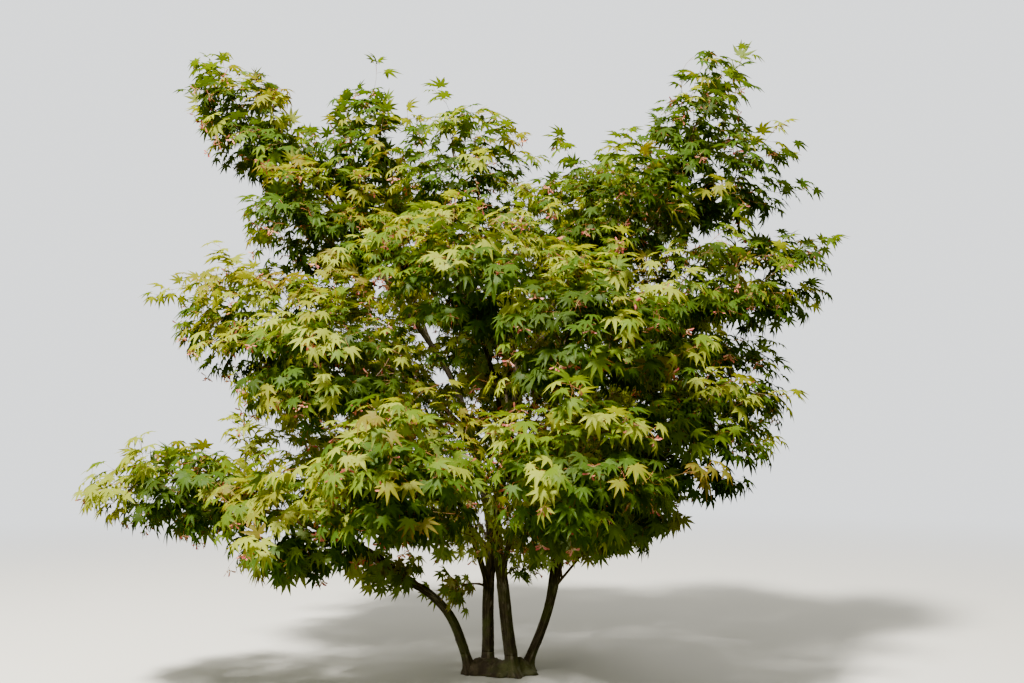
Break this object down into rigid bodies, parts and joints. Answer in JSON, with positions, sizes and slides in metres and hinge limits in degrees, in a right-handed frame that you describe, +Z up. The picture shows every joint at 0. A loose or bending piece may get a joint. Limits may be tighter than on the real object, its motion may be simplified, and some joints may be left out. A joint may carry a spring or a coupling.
{
  "type": "japanese maple tree",
  "caption": "Japanese maple grown in open ground: several stems fan out from a flat-cut root crown, with arching boughs and masses of lobed leaves in full early-summer leaf.",
  "frame": {"origin": "middle of the flat cut under the root crown, at ground level", "axes": "+Z up along the stems; +X to the right and +Y away from the viewer when the tree is seen from the side in the picture"},
  "size_m": [3.5555, 3.0327, 3.1638],
  "materials": {
    "bark": "rough grey-brown bark with pale streaks",
    "foliage": "matte thin leaves, yellow-green with deeper green in the shade"
  },
  "bodies": {
    "root": {"bough_back_centre": "bark", "bough_back_left": "bark", "bough_back_low_left": "bark", "bough_back_low_right": "bark", "bough_back_right": "bark", "bough_back_top_left": "bark", "bough_back_top_right": "bark", "bough_centre_front": "bark", "bough_centre_top": "bark", "bough_far_right": "bark", "bough_front_left": "bark", "bough_front_low": "bark", "bough_front_right": "bark", "bough_left_inner": "bark", "bough_left_outer": "bark", "bough_low_left_inner": "bark", "bough_low_left_outer": "bark", "bough_low_right": "bark", "bough_low_right_outer": "bark", "bough_peak": "bark", "bough_right_middle": "bark", "bough_right_outer": "bark", "bough_right_shoulder": "bark", "bough_top_left": "bark", "bough_top_left_inner": "bark", "bough_upper_left": "bark", "leader_left": "bark", "leader_right": "bark", "leaves_back_centre": "foliage", "leaves_back_left": "foliage", "leaves_back_low_left": "foliage", "leaves_back_low_right": "foliage", "leaves_back_right": "foliage", "leaves_back_top_left": "foliage", "leaves_back_top_right": "foliage", "leaves_centre_front": "foliage", "leaves_centre_top": "foliage", "leaves_far_right": "foliage", "leaves_front_left": "foliage", "leaves_front_low": "foliage", "leaves_front_right": "foliage", "leaves_left_inner": "foliage", "leaves_left_outer": "foliage", "leaves_low_left_inner": "foliage", "leaves_low_left_outer": "foliage", "leaves_low_right": "foliage", "leaves_low_right_outer": "foliage", "leaves_peak": "foliage", "leaves_right_middle": "foliage", "leaves_right_outer": "foliage", "leaves_right_shoulder": "foliage", "leaves_right_skirt": "foliage", "leaves_top_left": "foliage", "leaves_top_left_inner": "foliage", "leaves_upper_left": "foliage", "root_crown": "bark", "stem_left": "bark", "stem_middle_left": "bark", "stem_middle_right": "bark", "stem_right": "bark"}
  },
  "joints": []
}
